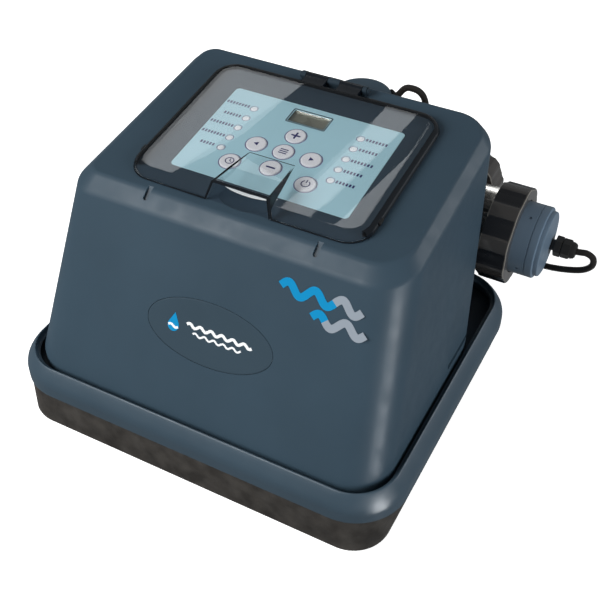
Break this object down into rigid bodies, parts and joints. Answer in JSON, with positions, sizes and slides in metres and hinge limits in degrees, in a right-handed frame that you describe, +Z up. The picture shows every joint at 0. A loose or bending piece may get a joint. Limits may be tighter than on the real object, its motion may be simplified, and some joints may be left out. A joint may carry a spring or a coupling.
{
  "type": "salt chlorine generator",
  "caption": "Tapered pool salt chlorinator on a wide base: hinged clear lid over a keypad with display, and a horizontal electrolysis cell with union nuts and hose ports behind.",
  "frame": {"origin": "bottom centre of the box around everything but the cell lead, on the surface that the feet stand on", "axes": "+X to the user's right along the cell, +Y to the rear along the hose ports, +Z up"},
  "size_m": [0.4468, 0.406, 0.255],
  "materials": {
    "slate_plastic": "fine satin moulding",
    "charcoal_plastic": "weathered, mottled",
    "deck_plastic": "matte black",
    "foot_rubber": "matte",
    "screw_steel": "plain",
    "label_film": "printed film",
    "key_plastic": "satin",
    "window_acrylic": "clear, polished",
    "display_glass": "grey-green display",
    "light_pipe_acrylic": "frosted",
    "circuit_board": "solder mask",
    "lid_acrylic": "clear, glossy",
    "cell_acrylic": "clear, slightly smoked",
    "nut_smoked_plastic": "dark smoked, glossy",
    "plate_titanium": "dull coated",
    "seal_rubber": "matte",
    "gland_nylon": "satin",
    "lead_sheath": "satin",
    "transformer_iron": "varnished",
    "heat_sink_aluminium": "extruded",
    "terminal_plastic": "plain"
  },
  "bodies": {
    "unit": {"rubber_foot_0": "foot_rubber", "base_screw_0": "screw_steel", "rubber_foot_1": "foot_rubber", "base_screw_1": "screw_steel", "rubber_foot_2": "foot_rubber", "base_screw_2": "screw_steel", "rubber_foot_3": "foot_rubber", "base_screw_3": "screw_steel", "base_tray": "charcoal_plastic", "flange_ring": "slate_plastic", "deck_plate": "deck_plastic", "housing_shell": "slate_plastic", "front_badge": "slate_plastic", "mains_gland": "gland_nylon", "membrane_label": "label_film", "light_pipe_left": "light_pipe_acrylic", "light_pipe_right": "light_pipe_acrylic", "lcd_window": "window_acrylic", "lcd_module": "display_glass", "control_board": "circuit_board", "hinge_bracket": "slate_plastic", "hinge_pin": "screw_steel", "cable_hood": "slate_plastic", "hood_grommet": "foot_rubber", "cell_body": "cell_acrylic", "cell_cap": "slate_plastic", "cap_seal": "seal_rubber", "flow_sensor_plug": "slate_plastic", "electrode_plates": "plate_titanium", "port_seal_right": "seal_rubber", "port_tail_right": "gland_nylon", "cell_saddle_right": "deck_plastic", "port_seal_left": "seal_rubber", "port_tail_left": "gland_nylon", "cell_saddle_left": "deck_plastic", "gland_body": "gland_nylon", "cell_lead": "lead_sheath", "transformer": "transformer_iron", "power_board": "circuit_board", "heat_sink": "heat_sink_aluminium", "terminal_block": "terminal_plastic"},
    "lid": {"clear_lid": "lid_acrylic"},
    "union_nut_body": {"union_nut": "nut_smoked_plastic"},
    "end_nut_body": {"end_nut": "nut_smoked_plastic"},
    "port_nut_right_body": {"port_nut_right": "nut_smoked_plastic"},
    "port_nut_left_body": {"port_nut_left": "nut_smoked_plastic"},
    "gland_nut_body": {"gland_nut": "gland_nylon"},
    "key_plus_body": {"key_plus": "key_plastic"},
    "key_left_body": {"key_left": "key_plastic"},
    "key_menu_body": {"key_menu": "key_plastic"},
    "key_right_body": {"key_right": "key_plastic"},
    "key_minus_body": {"key_minus": "key_plastic"},
    "key_timer_body": {"key_timer": "key_plastic"},
    "key_power_body": {"key_power": "key_plastic"}
  },
  "joints": [
    {"name": "lid_hinge", "type": "hinge", "parent": "unit", "child": "lid", "pos_m": [-0.02325, 0.08696, 0.25125], "axis": [-1, 0, 0], "range_deg": [0, 105]},
    {"name": "key_plus_press", "type": "slide", "parent": "unit", "child": "key_plus_body", "axis": [0, 0.1238, -0.9923], "range_m": [0, 0.0008], "stiffness_N_per_m": 1500, "springref_m": -0.0002},
    {"name": "key_left_press", "type": "slide", "parent": "unit", "child": "key_left_body", "axis": [0, 0.1238, -0.9923], "range_m": [0, 0.0008], "stiffness_N_per_m": 1500, "springref_m": -0.0002},
    {"name": "key_menu_press", "type": "slide", "parent": "unit", "child": "key_menu_body", "axis": [0, 0.1238, -0.9923], "range_m": [0, 0.0008], "stiffness_N_per_m": 1500, "springref_m": -0.0002},
    {"name": "key_right_press", "type": "slide", "parent": "unit", "child": "key_right_body", "axis": [0, 0.1238, -0.9923], "range_m": [0, 0.0008], "stiffness_N_per_m": 1500, "springref_m": -0.0002},
    {"name": "key_minus_press", "type": "slide", "parent": "unit", "child": "key_minus_body", "axis": [0, 0.1238, -0.9923], "range_m": [0, 0.0008], "stiffness_N_per_m": 1500, "springref_m": -0.0002},
    {"name": "key_timer_press", "type": "slide", "parent": "unit", "child": "key_timer_body", "axis": [0, 0.1238, -0.9923], "range_m": [0, 0.0008], "stiffness_N_per_m": 1500, "springref_m": -0.0002},
    {"name": "key_power_press", "type": "slide", "parent": "unit", "child": "key_power_body", "axis": [0, 0.1238, -0.9923], "range_m": [0, 0.0008], "stiffness_N_per_m": 1500, "springref_m": -0.0002},
    {"name": "union_nut_turn", "type": "hinge", "parent": "unit", "child": "union_nut_body", "pos_m": [0.14775, 0.109, 0.1275], "axis": [1, 0, 0], "continuous": true},
    {"name": "end_nut_turn", "type": "hinge", "parent": "unit", "child": "end_nut_body", "pos_m": [-0.19425, 0.109, 0.1275], "axis": [1, 0, 0], "continuous": true},
    {"name": "port_nut_right_turn", "type": "hinge", "parent": "unit", "child": "port_nut_right_body", "pos_m": [0.08725, 0.173, 0.1275], "axis": [0, 1, 0], "continuous": true},
    {"name": "port_nut_left_turn", "type": "hinge", "parent": "unit", "child": "port_nut_left_body", "pos_m": [-0.13375, 0.173, 0.1275], "axis": [0, 1, 0], "continuous": true},
    {"name": "gland_nut_turn", "type": "hinge", "parent": "unit", "child": "gland_nut_body", "pos_m": [0.20575, 0.124, 0.1175], "axis": [1, 0, 0], "continuous": true}
  ]
}
